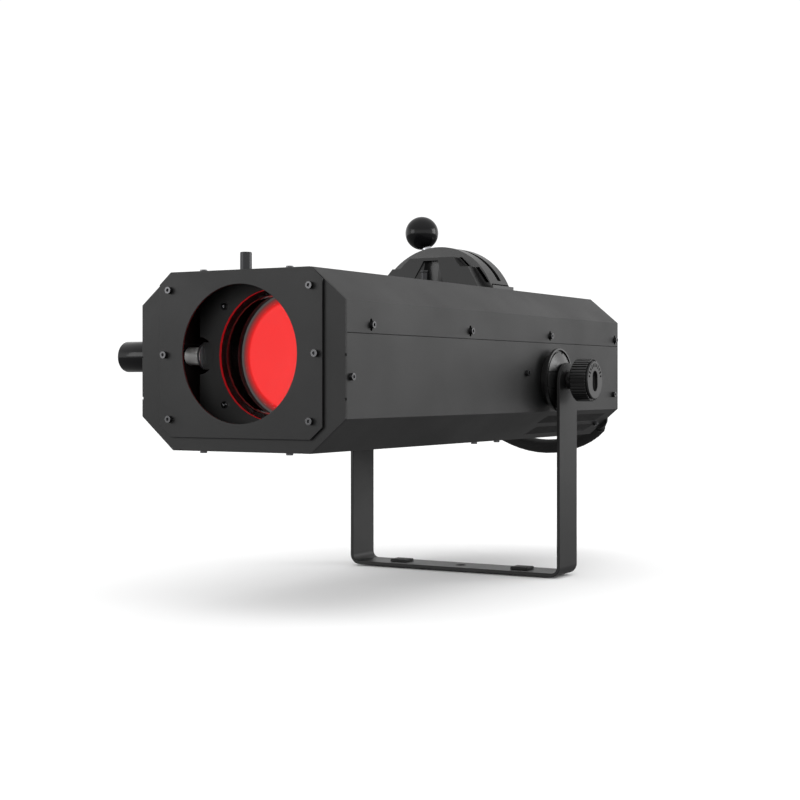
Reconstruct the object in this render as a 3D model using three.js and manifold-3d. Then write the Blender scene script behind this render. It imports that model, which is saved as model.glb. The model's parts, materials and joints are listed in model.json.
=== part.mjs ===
// Long-throw stage spotlight on a U-shaped yoke: folded steel housing, two-lens objective that slides
// for focus, iris, turning colour wheel under a moulded cover, LED light engine with heat sink and fan.
//
// Millimetres, +Z up. While it is built, x = 0 is the middle plane, y = 0 is the front face of the end
// cap, with y growing towards the back, and z = 0 is half the housing's height. The light leaves
// towards -Y. At the end the whole object is moved so that the origin is on the floor, under the middle
// of its box.
import * as THREE from 'three';
import { ConvexGeometry } from 'three/addons/geometries/ConvexGeometry.js';
import { mergeVertices } from 'three/addons/utils/BufferGeometryUtils.js';
import Module from 'manifold-3d';

const wasm = await Module();
wasm.setup();

// ---- Driving dimensions -------------------------------------------------------------------------
const HOUSING = {
  halfWidth: 120, halfHeight: 88, length: 666, sheet: 1.5, seam: 25.7,
  topFlat: 82.3, topChamferLow: 56.3, bottomFlat: 81.2, bottomChamferHigh: -54.9,
};
const CAP_SHEET = 1.8;
const GAP = 0.3;
const AXIS_Z = 6.5;                                   // optical axis above the housing's middle
const APERTURE_R = 67.5;
const TILT = { y: 457.4, z: -18 };                    // where the yoke carries the housing
const YOKE = { outer: 142.5, sheet: 4, width: 50, floor: -247, bend: 12, padX: 82.5, endDrop: 4.5 };
const PLATE = { halfWidth: 96, low: -75, high: 88, front: -2.8, sheet: 2 };
const FOCUS = { y: 74, forward: 20, back: 130, stud: 5 };
const LENS = { frontY: 56, frontR: 66, rearY: 96, rearR: 66 };
const DOME = { y0: 392.4, y1: 441.3, z: 59.6, r: 80.3, wall: 2.5, lean: THREE.MathUtils.degToRad(8.1) };
const BLOCK = { proud: 22, lean: THREE.MathUtils.degToRad(17) };
const WHEEL = { y: 421, r: 73, sheet: 2, lever: THREE.MathUtils.degToRad(18.8), windowR: 15.5 };
const IRIS = { y: 366.4, throat: 20, knobTop: 110.1 };
const GATE_Y = 385;
const HANDLE = { x: 92, drop: 113.7, spread: 122, tube: 7.3, grip: 9.5, back: 710 };
const ROD = { x: 50, z: -76, r: 4 };
const VENT = { rows: [[8.5, 22.5], [29, 43]], y0: 458, y1: 634, slant: 0.9 };

// ---- Finishes -----------------------------------------------------------------------------------
const finish = (color, roughness, metalness) =>
  new THREE.MeshStandardMaterial({ color, roughness, metalness });
const powder = () => finish(0x2b2b2c, 0.6, 0.2);
const moulded = () => finish(0x222223, 0.55, 0);
const gloss = () => finish(0x0b0b0c, 0.15, 0);
const darkInside = () => finish(0x0a0a0a, 0.9, 0);
const rubber = () => finish(0x171717, 0.85, 0);
const blackSteel = () => finish(0x1c1c1e, 0.4, 0.8);
const brightSteel = () => finish(0xb8bbc0, 0.25, 1);
const bareAluminium = () => finish(0xa8abae, 0.4, 1);
const nylon = () => finish(0xe6e6e2, 0.5, 0);
const opticalGlass = () => new THREE.MeshStandardMaterial({
  color: 0xe8f0f0, roughness: 0.03, metalness: 0, transparent: true, opacity: 0.35,
});
const filterGlass = (color) => new THREE.MeshStandardMaterial({
  color, roughness: 0.08, metalness: 0, transparent: true, opacity: 0.6,
});

// ---- Solids: closed meshes joined and cut -------------------------------------------------------
function bareMesh(geometry) {
  const bare = geometry.clone();
  bare.deleteAttribute('normal');
  bare.deleteAttribute('uv');
  const merged = mergeVertices(bare, 1e-4);
  const index = merged.index.array;
  const kept = [];
  for (let i = 0; i < index.length; i += 3) {
    const [a, b, c] = [index[i], index[i + 1], index[i + 2]];
    if (a !== b && b !== c && c !== a) kept.push(a, b, c);
  }
  return { points: merged.attributes.position.array, triangles: kept };
}

// Six times the signed volume: positive when the faces point out.
function signedVolume({ points, triangles }) {
  const [a, b, c] = [new THREE.Vector3(), new THREE.Vector3(), new THREE.Vector3()];
  let sum = 0;
  for (let i = 0; i < triangles.length; i += 3) {
    a.fromArray(points, 3 * triangles[i]);
    b.fromArray(points, 3 * triangles[i + 1]);
    c.fromArray(points, 3 * triangles[i + 2]);
    sum += a.dot(b.cross(c));
  }
  return sum;
}

function solid(geometry) {
  const mesh = bareMesh(geometry);
  if (signedVolume(mesh) < 0) {
    for (let i = 0; i < mesh.triangles.length; i += 3) {
      [mesh.triangles[i], mesh.triangles[i + 1]] = [mesh.triangles[i + 1], mesh.triangles[i]];
    }
  }
  return new wasm.Manifold(new wasm.Mesh({
    numProp: 3,
    vertProperties: new Float32Array(mesh.points),
    triVerts: new Uint32Array(mesh.triangles),
  }));
}

const join = (first, ...rest) => rest.reduce((sum, next) => sum.add(next), first);
const cut = (first, ...rest) => rest.reduce((sum, next) => sum.subtract(next), first);

function geometryOf(manifold) {
  const mesh = manifold.getMesh();
  const geometry = new THREE.BufferGeometry();
  const points = new Float32Array(mesh.numVert * 3);
  for (let i = 0; i < mesh.numVert; i += 1) {
    for (let k = 0; k < 3; k += 1) points[3 * i + k] = mesh.vertProperties[mesh.numProp * i + k];
  }
  geometry.setAttribute('position', new THREE.BufferAttribute(points, 3));
  geometry.setIndex(Array.from(mesh.triVerts));
  geometry.computeVertexNormals();
  return geometry;
}

// ---- Shape makers -------------------------------------------------------------------------------
function box(x0, x1, y0, y1, z0, z1) {
  const geometry = new THREE.BoxGeometry(x1 - x0, y1 - y0, z1 - z0);
  return solid(geometry.translate((x0 + x1) / 2, (y0 + y1) / 2, (z0 + z1) / 2));
}

const alongY = (geometry, start, depth) => geometry.rotateX(Math.PI / 2).translate(0, start + depth, 0);
const cyclic = new THREE.Matrix4().makeBasis(
  new THREE.Vector3(0, 1, 0), new THREE.Vector3(0, 0, 1), new THREE.Vector3(1, 0, 0));

function extrude(shape, depth, curveSegments = 8) {
  return new THREE.ExtrudeGeometry(shape, { depth, bevelEnabled: false, curveSegments });
}

// An outline in x and z, carried along y.
const prismY = (shape, y0, y1, segments) => solid(alongY(extrude(shape, y1 - y0, segments), y0, y1 - y0));
// An outline in y and z, carried along x.
const prismX = (shape, x0, x1, segments) =>
  solid(extrude(shape, x1 - x0, segments).applyMatrix4(cyclic).translate(x0, 0, 0));
// An outline in x and y, carried along z.
const prismZ = (shape, z0, z1, segments) => solid(extrude(shape, z1 - z0, segments).translate(0, 0, z0));

// A turned piece: the profile holds [radius, distance along the axis] pairs.
function turned(profile, axis, at, segments = 24) {
  const geometry = new THREE.LatheGeometry(profile.map(([r, d]) => new THREE.Vector2(r, d)), segments);
  if (axis === 'x') geometry.rotateZ(-Math.PI / 2);
  if (axis === 'z') geometry.rotateX(Math.PI / 2);
  return solid(geometry.translate(...at));
}

const rod = (axis, at, r, from, to, segments = 16) =>
  turned([[0, from], [r, from], [r, to], [0, to]], axis, at, segments);
const ring = (axis, at, inner, outer, from, to, segments = 32) =>
  turned([[inner, from], [outer, from], [outer, to], [inner, to], [inner, from]], axis, at, segments);

function outline(points) {
  return new THREE.Shape(points.map(([a, b]) => new THREE.Vector2(a, b)));
}

function circle(x, y, r) {
  const shape = new THREE.Shape();
  shape.absarc(x, y, r, 0, 2 * Math.PI);
  return shape;
}

const mirrored = (points) => [...points, ...points.map(([a, b]) => [-a, b]).reverse()];

// A slot with round ends between two points of its middle line.
function slotShape(ax, ay, bx, by, r) {
  const angle = Math.atan2(by - ay, bx - ax);
  const shape = new THREE.Shape();
  shape.absarc(ax, ay, r, angle + Math.PI / 2, angle + 1.5 * Math.PI);
  shape.absarc(bx, by, r, angle - Math.PI / 2, angle + Math.PI / 2);
  return shape;
}

// A folded sheet's section: the given outer line, and the same line moved in by the thickness.
// Points run so that the material lies on their right.
function sheetShape(points, thickness) {
  const inner = points.map((point, i) => {
    const before = points[Math.max(i - 1, 0)];
    const after = points[Math.min(i + 1, points.length - 1)];
    const first = i > 0 ? rightOf(before, point) : rightOf(point, after);
    const second = i < points.length - 1 ? rightOf(point, after) : first;
    const mid = first.clone().add(second).normalize();
    const reach = thickness / mid.dot(first);
    return [point[0] + mid.x * reach, point[1] + mid.y * reach];
  });
  return outline([...points, ...inner.reverse()]);
}

function rightOf(a, b) {
  return new THREE.Vector2(b[1] - a[1], a[0] - b[0]).normalize();
}

// The housing's eight-sided section, moved in by the given distance.
function octagon(inset = 0) {
  const k = Math.tan(Math.PI / 8) * inset;
  const { halfWidth: w, halfHeight: h, topFlat, topChamferLow, bottomFlat, bottomChamferHigh } = HOUSING;
  return mirrored([
    [bottomFlat - k, -h + inset], [w - inset, bottomChamferHigh + k],
    [w - inset, topChamferLow - k], [topFlat - k, h - inset],
  ]);
}

// ---- Groups and naming --------------------------------------------------------------------------
const spotlight = new THREE.Group();
const yoke = new THREE.Group();
const head = new THREE.Group();
const objective = new THREE.Group();
spotlight.add(yoke, head);
head.add(objective);

function part(group, name, material, manifold) {
  const mesh = new THREE.Mesh(geometryOf(manifold), material);
  mesh.name = name;
  group.add(mesh);
  return mesh;
}

const sides = [['left', -1], ['right', 1]];
const between = (side, a, b) => (side > 0 ? [a, b] : [-b, -a]);

// ---- Yoke ---------------------------------------------------------------------------------------
function makeYoke() {
  const { outer, sheet, width, floor, bend, padX } = YOKE;
  const { y, z } = TILT;
  const half = width / 2;
  const end = z - YOKE.endDrop;                       // middle of each arm's round end
  const section = new THREE.Shape();
  section.moveTo(outer, end);
  section.lineTo(outer, floor + bend);
  section.absarc(outer - bend, floor + bend, bend, 0, -Math.PI / 2, true);
  section.lineTo(-outer + bend, floor);
  section.absarc(-outer + bend, floor + bend, bend, -Math.PI / 2, -Math.PI, true);
  section.lineTo(-outer, end);
  section.lineTo(-outer + sheet, end);
  section.absarc(-outer + bend, floor + bend, bend - sheet, -Math.PI, -Math.PI / 2);
  section.absarc(outer - bend, floor + bend, bend - sheet, -Math.PI / 2, 0);
  section.lineTo(outer - sheet, end);
  let bracket = prismY(section, y - half, y + half, 6);
  for (const [, side] of sides) {
    const [x0, x1] = between(side, outer - sheet, outer);
    bracket = join(bracket, rod('x', [0, y, end], half, x0, x1, 32));
    bracket = cut(bracket, rod('x', [0, y, z], 6.5, x0 - 1, x1 + 1, 20));
    const padHole = box(side * padX - 8.3, side * padX + 8.3, y - 6.3, y + 6.3, floor - 1, floor + sheet + 1);
    bracket = cut(bracket, padHole);
  }
  bracket = cut(bracket, rod('z', [0, y, 0], 6.5, floor - 1, floor + sheet + 1, 20));
  part(yoke, 'yoke_bracket', powder(), bracket);
  for (const [sideName, side] of sides) {
    const x = side * padX;
    const head0 = floor + sheet + GAP;
    const button = prismX(outline([
      [y - 11, head0], [y + 11, head0], [y + 9, head0 + 3], [y - 9, head0 + 3],
    ]), x - 11, x + 11);
    const plug = box(x - 8, x + 8, y - 6, y + 6, floor - 0.5, head0 + 1);
    const foot = box(x - 12, x + 12, y - 12, y + 12, floor - 1.5, floor - GAP);
    part(yoke, `yoke_pad_${sideName}`, rubber(), join(button, plug, foot));
  }
}

// A clamping knob: ribbed grip, neck and stud on one axis.
function makeTiltKnobs() {
  const { y, z } = TILT;
  const ribs = 30;
  const ribbed = new THREE.Shape();
  for (let i = 0; i < ribs; i += 1) {
    for (const [step, r] of [[0, 25], [0.5, 25], [0.75, 24]]) {
      const angle = ((i + step) / ribs) * 2 * Math.PI;
      const point = [y + r * Math.cos(angle), z + r * Math.sin(angle)];
      if (i === 0 && step === 0) ribbed.moveTo(...point);
      else ribbed.lineTo(...point);
    }
  }
  for (const [sideName, side] of sides) {
    const grip = prismX(ribbed, ...between(side, 155, 173.5));
    const shift = [0, y, z];
    const faces = turned([
      [0, 112], [6, 112], [6, 142.8], [10.5, 142.8], [10.5, 152], [22.5, 153.2], [23.8, 155.5], [23.8, 173],
      [23, 175], [20.5, 176.4], [17.5, 176.4], [16.5, 175.4], [0, 175.4],
    ].map(([r, d]) => [r, side * d]), 'x', shift, 24);
    const recess = prismX(slotShape(y, z - 6, y, z + 6, 5), ...between(side, 172, 178), 6);
    part(yoke, `tilt_knob_${sideName}`, moulded(), cut(join(grip, faces), recess));
  }
}

// ---- Housing ------------------------------------------------------------------------------------
const SHELL_START = CAP_SHEET + GAP;
const SHELL_END = HOUSING.length - CAP_SHEET - GAP;
const COVER_SCREW_Y = [46, 251, 455, 655];

function makeTopCover() {
  const { halfWidth: w, halfHeight: h, topFlat, topChamferLow, seam, sheet } = HOUSING;
  const line = [[-w, seam + GAP], [-w, topChamferLow], [-topFlat, h], [topFlat, h], [w, topChamferLow],
    [w, seam + GAP]];
  const cover = prismY(sheetShape(line, sheet), SHELL_START, SHELL_END);
  const openings = [
    box(-71, 71, WHEEL.y - 8, WHEEL.y + 8, h - 8, h + 4),
    prismZ(slotShape(-21, IRIS.y, 21, IRIS.y, 3.5), h - 4, h + 2, 5),
    rod('z', [0, 10, 0], 4.3, h - 4, h + 2, 20),
  ];
  for (const y of COVER_SCREW_Y) {
    openings.push(prismX(slotShape(y, 30.5, y, 37.5, 2.4), -w - 2, w + 2, 5));
  }
  part(head, 'top_cover', powder(), cut(cover, ...openings));
}

// Axes of a lower chamfer: down the slope, to the back and out of the sheet.
function chamferFrame(side) {
  const { halfWidth: w, halfHeight: h, bottomFlat, bottomChamferHigh } = HOUSING;
  const high = new THREE.Vector3(side * w, 0, bottomChamferHigh);
  const down = new THREE.Vector3(side * bottomFlat, 0, -h).sub(high).normalize();
  const back = new THREE.Vector3(0, 1, 0);
  const out = new THREE.Vector3().crossVectors(down, back).multiplyScalar(side);
  return { high, down, back, out };
}

// A prism standing on a lower chamfer: outline in (distance down the slope, y), between two heights
// above the outer surface.
function onChamfer(side, shape, low, high) {
  const frame = chamferFrame(side);
  const matrix = new THREE.Matrix4().makeBasis(frame.down, frame.back, frame.out).setPosition(frame.high);
  return solid(extrude(shape, high - low, 6).translate(0, 0, low).applyMatrix4(matrix));
}

// The vents are slanted openings in the lower chamfers, two rows on each side, near the back.
function makeLowerBody() {
  const { halfWidth: w, halfHeight: h, bottomFlat, bottomChamferHigh, seam, sheet } = HOUSING;
  const lip = sheet + GAP;
  const half = [[w, seam - GAP], [w, bottomChamferHigh], [bottomFlat, -h]];
  const fold = Math.tan(Math.PI / 8) * sheet;
  const innerHalf = [
    [bottomFlat - fold, -h + sheet], [w - sheet, bottomChamferHigh + fold], [w - sheet, seam - 8],
    [w - lip - sheet, seam - 6], [w - lip - sheet, 46], [w - lip, 46], [w - lip, seam - GAP],
  ];
  const flip = (points) => points.map(([x, z]) => [-x, z]).reverse();
  const section = outline([...half, ...flip(half), ...flip(innerHalf), ...innerHalf]);
  let body = prismY(section, SHELL_START, SHELL_END);
  for (const [, side] of sides) {
    const [x0, x1] = between(side, w - 6, w + 2);
    body = cut(body, rod('x', [0, TILT.y, TILT.z], 8, x0, x1, 24));
    for (const [s0, s1] of VENT.rows) {
      const lean = (s1 - s0) * VENT.slant;
      body = cut(body, onChamfer(side, outline([
        [s0, VENT.y0 + 0.5 * lean], [s0, VENT.y1 + 0.5 * lean], [s1, VENT.y1 - 0.5 * lean],
        [s1, VENT.y0 - 0.5 * lean],
      ]), -sheet - 1, 1));
    }
  }
  const track = slotShape(FOCUS.y - FOCUS.forward, AXIS_Z, FOCUS.y + FOCUS.back, AXIS_Z, FOCUS.stud + 1.2);
  part(head, 'lower_body', powder(), cut(body, prismX(track, -w - 2, -w + 5, 6)));
  for (const [sideName, side] of sides) {
    const plate = outline([[3, 448], [48, 448], [48, 646], [3, 646]]);
    const under = -sheet - GAP;
    part(head, `vent_grille_${sideName}`, blackSteel(), onChamfer(side, plate, under - 1, under));
  }
}

// Folded tabs that hold the shells to the end plates, [x0, x1, z0, z1] each.
function endTabs(y0, y1) {
  const { halfWidth: w, halfHeight: h, sheet } = HOUSING;
  const inside = sheet + GAP;
  const side = [w - inside - sheet, w - inside];
  return [
    box(-75, 75, y0, y1, h - inside - sheet, h - inside),
    box(-71, 71, y0, y1, -h + inside, -h + inside + sheet),
    box(side[0], side[1], y0, y1, -36.5, 5),
    box(-side[1], -side[0], y0, y1, -36.5, 5),
  ];
}

function makeFrontCap() {
  const { halfWidth: w, halfHeight: h } = HOUSING;
  let cap = join(prismY(outline(octagon()), 0, CAP_SHEET), ...endTabs(CAP_SHEET - 0.5, 20));
  cap = cut(cap, rod('y', [0, 0, AXIS_Z], 72, -1, CAP_SHEET + 1, 40));
  cap = cut(cap, rod('z', [0, 10, 0], 4.3, h - 6, h + 2, 20));
  const relief = 1.2;
  const notches = [[75, h], [-75, h], [71, -h], [-71, -h], [w, 5], [w, -36.5], [-w, 5], [-w, -36.5]];
  for (const [x, z] of notches) {
    cap = cut(cap, box(x - relief, x + relief, -1, CAP_SHEET + 1, z - relief, z + relief));
  }
  for (const [x, z] of frontScrewPlaces()) {
    cap = cut(cap, rod('y', [x, 0, z], 2.4, -1, CAP_SHEET + 1, 8));
  }
  part(head, 'front_cap', powder(), cap);
}

function frontScrewPlaces() {
  const places = [];
  for (const side of [-1, 1]) {
    places.push([side * 83, AXIS_Z + 63.7], [side * 89, AXIS_Z], [side * 83, AXIS_Z - 63.7]);
  }
  return places;
}

function makeFrontPlate() {
  const { halfWidth: w, low, high, front, sheet } = PLATE;
  const corner = [14, 12];
  const shape = mirrored([
    [w - corner[0], low], [w, low + corner[1]], [w, high - corner[1]], [w - corner[0], high],
  ]);
  let plate = prismY(outline(shape), front, front + sheet);
  plate = cut(plate, rod('y', [0, 0, AXIS_Z], APERTURE_R, front - 1, front + sheet + 1, 64));
  frontScrewPlaces().forEach(([x, z], i) => {
    plate = cut(plate, rod('y', [x, 0, z], 2.4, front - 1, front + sheet + 1, 8));
    const headBack = front - GAP;
    const cap = turned([
      [0, headBack - 4], [3.1, headBack - 4], [3.5, headBack - 3.6], [3.5, headBack], [2, headBack],
      [2, 6], [0, 6],
    ], 'y', [x, 0, z], 12);
    const hex = rod('y', [x, 0, z], 1.7, headBack - 5, headBack - 2, 6);
    part(head, `front_screw_${i + 1}`, blackSteel(), cut(cap, hex));
  });
  part(head, 'front_plate', powder(), plate);
}

function makeRearPanel() {
  const { length } = HOUSING;
  const face = length - CAP_SHEET;
  let panel = join(prismY(outline(octagon()), face, length), ...endTabs(length - 20, face + 0.5));
  for (const z of [-24, -12, 0, 12, 24]) {
    const half = Math.sqrt(42 ** 2 - z ** 2);
    panel = cut(panel, prismY(slotShape(-half, AXIS_Z + z, half, AXIS_Z + z, 3.2), face - 1, length + 1, 5));
  }
  panel = cut(panel, box(-88.5, -60.5, face - 1, length + 1, -43, -22));
  panel = cut(panel, box(-83, -66, face - 1, length + 1, 20.2, 33.8));
  panel = cut(panel, rod('y', [75, 0, 27], 4.3, face - 1, length + 1, 20));
  for (const [, side] of sides) {
    panel = cut(panel, rod('y', [side * HANDLE.x, 0, handleZ(HANDLE.x)], 3.2, face - 1, length + 1, 16));
  }
  part(head, 'rear_panel', powder(), panel);
}

// The grab handle behind the rear panel follows a wide ellipse about the optical axis, below the housing.
const handleZ = (x) => AXIS_Z - HANDLE.drop * Math.sqrt(1 - (x / HANDLE.spread) ** 2);

class HandleLine extends THREE.Curve {
  constructor(from, to) {
    super();
    this.span = [from, to];
  }

  // Half an oblong in plan: straight out of the panel, round the corners, across the back.
  getPoint(t, target = new THREE.Vector3()) {
    const angle = Math.PI * THREE.MathUtils.lerp(this.span[0], this.span[1], t);
    const x = HANDLE.x * Math.sign(Math.cos(angle)) * Math.abs(Math.cos(angle)) ** 0.62;
    const start = HOUSING.length + GAP;
    const y = start + (HANDLE.back - start) * Math.sin(angle) ** 0.62;
    return target.set(x, y, handleZ(x));
  }
}

function makeRearHandle() {
  const sweep = (shape, from, to, steps) => solid(new THREE.ExtrudeGeometry(shape, {
    extrudePath: new HandleLine(from, to), steps, bevelEnabled: false, curveSegments: 5,
  }));
  let bar = sweep(circle(0, 0, HANDLE.tube), 0.03, 0.97, 24);
  for (const [, side] of sides) {
    const at = [side * HANDLE.x, 0, handleZ(HANDLE.x)];
    const face = HOUSING.length + GAP;
    const reach = new HandleLine(0.03, 0.97).getPoint(0).y + 2;
    bar = join(bar, rod('y', at, HANDLE.tube, face, reach, 16), ring('y', at, 0.5, 13, face, face + 3, 20));
  }
  part(head, 'rear_handle', powder(), bar);
  const bore = sweep(circle(0, 0, HANDLE.tube + GAP), 0.03, 0.97, 24);
  part(head, 'handle_grip', rubber(), cut(sweep(circle(0, 0, HANDLE.grip), 0.2, 0.8, 14), bore));
}

// Friction discs between the housing and the yoke's arms: a boss, a thin rim and a cone with four straight
// grooves and one notch.
function makeTrunnions() {
  const { y, z } = TILT;
  const slope = Math.atan2(138.1 - 131.4, 33 - 16);
  for (const [sideName, side] of sides) {
    const profile = [
      [6.4, 120.3], [29, 120.3], [29, 128], [37.5, 128.4], [37.5, 131.6], [35.6, 131.9], [35.6, 129.4],
      [33, 129.4], [33, 131.4], [16, 138.1], [6.4, 138.1], [6.4, 120.3],
    ].map(([r, d]) => [r, side * d]);
    let disc = turned(profile, 'x', [0, y, z], 36);
    for (const end of [-1, 1]) {
      for (const rise of [-9.5, 9.5]) {
        const groove = new THREE.BoxGeometry(5, 24, 2);
        groove.rotateZ(side * end * slope).translate(side * 135, y + end * 25, z + rise);
        disc = cut(disc, solid(groove));
      }
    }
    disc = cut(disc, box(...between(side, 129.9, 134), y + 3.5, y + 7, z + 30.5, z + 34));
    part(head, `trunnion_${sideName}`, moulded(), disc);
  }
}

// ---- Wheel cover --------------------------------------------------------------------------------
function makeWheelCover() {
  const { y0, y1, z, r, wall, lean } = DOME;
  const roof = HOUSING.halfHeight;
  const base = roof + GAP;
  const rise = Math.tan(lean);
  const bodyCircle = (radius) => {
    const shape = new THREE.Shape();
    const foot = Math.asin((base - z) / radius);
    shape.absarc(0, z, radius, foot, Math.PI - foot);
    return shape;
  };
  // Everything in front of the leaning face is cut off, then the stepped block is set on it. The block's
  // own face leans back further.
  const leaning = (offset, high, slope) => prismX(outline([
    [y0 - 60, base - 1], [y0 + offset, base - 1], [y0 + offset + slope * (high - base), high], [y0 - 60, high],
  ]), -100, 100);
  let shell = cut(prismY(bodyCircle(r), y0 - 2, y1, 18), leaning(0, 150, rise));
  const flange = box(-77.5, 77.5, y0 - 2, y1 + 3, base, base + 4);
  const stepped = mirrored([[68.5, base], [64, 95], [50.5, 114], [40.2, 114], [28.5, 126]]);
  const block = prismY(outline(stepped), y0 - 30, y0 + 14);
  let raised = cut(block, leaning(-BLOCK.proud, 140, Math.tan(BLOCK.lean)));
  // The pocket for the iris lever: a deep slot with parallel sides, opened out by shallow slanted facets.
  const facets = [];
  for (const [bottomDepth, topDepth, foot] of [[40, 40, 25], [22.5, 12, 25], [17.5, 7, 11]]) {
    for (const side of [-1, 1]) {
      facets.push(new THREE.Vector3(side * foot, y0 - bottomDepth, base - 2));
      facets.push(new THREE.Vector3(side * 9.5, y0 - topDepth, 122.5));
    }
  }
  const slot = mirrored([[11, base - 2], [9.5, 122.5]]);
  raised = cut(raised, solid(new ConvexGeometry(facets)), prismY(outline(slot), y0 - 40, y0 - 1));
  shell = join(shell, flange, raised);
  const inside = cut(prismY(bodyCircle(r - wall), y0 - 2, y1 - wall, 18), leaning(wall, 150, rise));
  shell = cut(shell, inside, box(-74, 74, y0 + 4, y1 - wall, base - 2, base + 6));
  // The lever's slot follows the rim.
  const reach = THREE.MathUtils.degToRad(61);
  const fan = new THREE.Shape();
  fan.moveTo(0, z);
  fan.absarc(0, z, r + 12, Math.PI / 2 - reach, Math.PI / 2 + reach);
  fan.lineTo(0, z);
  const slotTool = prismY(fan, WHEEL.y - 4.6, WHEEL.y + 4.6, 14);
  const core = prismY(bodyCircle(r - 2 * wall - 3), WHEEL.y - 8, WHEEL.y + 8, 14);
  shell = cut(shell, cut(slotTool, core));
  // Slanted slots beside the raised block.
  for (const [, side] of sides) {
    const strips = [
      [[29, 126.5], [33, 126.5], [45, 115], [41, 115]],
      [[52, 114], [56.5, 114], [71, 95.5], [66.5, 95.5]],
    ];
    for (const strip of strips) {
      const points = strip.map(([x, height]) => [side * x, height]);
      shell = cut(shell, prismY(outline(side > 0 ? points : points.reverse()), y0 - 9, y0 + 12));
    }
  }
  part(head, 'wheel_cover', moulded(), shell);
}

// ---- Colour wheel and its lever -----------------------------------------------------------------
function makeColourWheel() {
  const { y, r, sheet, lever, windowR } = WHEEL;
  const { z } = DOME;
  const pitch = 2 * lever;
  const reach = z - AXIS_Z;
  const hub = [0, 0, z];
  let disc = rod('y', hub, r, y - sheet / 2, y + sheet / 2, 40);
  disc = join(disc, rod('y', hub, 9, y - 5, y + 5, 24));
  disc = cut(disc, rod('y', hub, 4.15, y - 6, y + 6, 24));
  const windows = [null, ['red_filter', 0xd01818], ['amber_filter', 0xe09020], ['blue_filter', 0x2040c8]];
  // The first window is open. At rest the second one is on the optical axis.
  windows.forEach((glass, i) => {
    const angle = (i - 1) * pitch;
    const at = [reach * Math.sin(angle), 0, z - reach * Math.cos(angle)];
    disc = cut(disc, rod('y', at, windowR, y - 6, y + 6, 24));
    if (glass) {
      const [name, color] = glass;
      part(head, name, filterGlass(color), rod('y', at, windowR - 2 * GAP, y - 0.75, y + 0.75, 24));
    }
  });
  part(head, 'colour_wheel', blackSteel(), disc);
  part(head, 'wheel_axle', brightSteel(), turned(
    [[0, GATE_Y + 3.3], [10, GATE_Y + 3.3], [10, y - 6], [4, y - 6], [4, y + 9], [0, y + 9]], 'y', hub, 24));
  const stem = new THREE.LatheGeometry(
    [[0, r + GAP], [3.2, r + GAP], [3.2, 86.3], [0, 86.3]].map(([a, b]) => new THREE.Vector2(a, b)), 20);
  stem.rotateX(Math.PI / 2).rotateY(-lever).translate(0, y, z);
  part(head, 'lever_stem', brightSteel(), solid(stem));
  const ball = new THREE.SphereGeometry(20, 24, 14);
  ball.translate(-Math.sin(lever) * 105.6, y, z + Math.cos(lever) * 105.6);
  const seat = new THREE.CylinderGeometry(8, 8, 2, 24);
  seat.rotateX(Math.PI / 2).translate(0, 0, 85.6).rotateY(-lever).translate(0, y, z);
  part(head, 'ball_knob', gloss(), cut(solid(ball), solid(seat)));
}

// ---- Gate, iris and light engine ----------------------------------------------------------------
function makeGate() {
  const inset = 4;
  const lipClear = 5.5;
  const points = octagon(inset).map(([x, z]) => [Math.sign(x) * Math.min(Math.abs(x), 120 - lipClear), z]);
  const plate = prismY(outline(points), GATE_Y, GATE_Y + 3);
  part(head, 'gate_plate', darkInside(), cut(plate, rod('y', [0, 0, AXIS_Z], 17, GATE_Y - 1, GATE_Y + 4, 32)));
  const at = [0, 0, AXIS_Z];
  part(head, 'iris_housing', blackSteel(), ring('y', at, IRIS.throat, 45, 372.6, GATE_Y - GAP, 24));
  const arm = box(-3, 3, IRIS.y - 1.5, IRIS.y + 1.5, AXIS_Z + 35, 92);
  const collar = ring('y', at, IRIS.throat, 40, IRIS.y - 1.5, 372.2, 24);
  const knob = turned([
    [0, 90.6], [4.6, 90.6], [4.6, 107.5], [5.2, 108.2], [5.2, 109.4], [4.4, IRIS.knobTop], [0, IRIS.knobTop],
  ], 'z', [0, IRIS.y, 0], 16);
  part(head, 'iris_lever', blackSteel(), join(collar, arm, knob));
}

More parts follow.
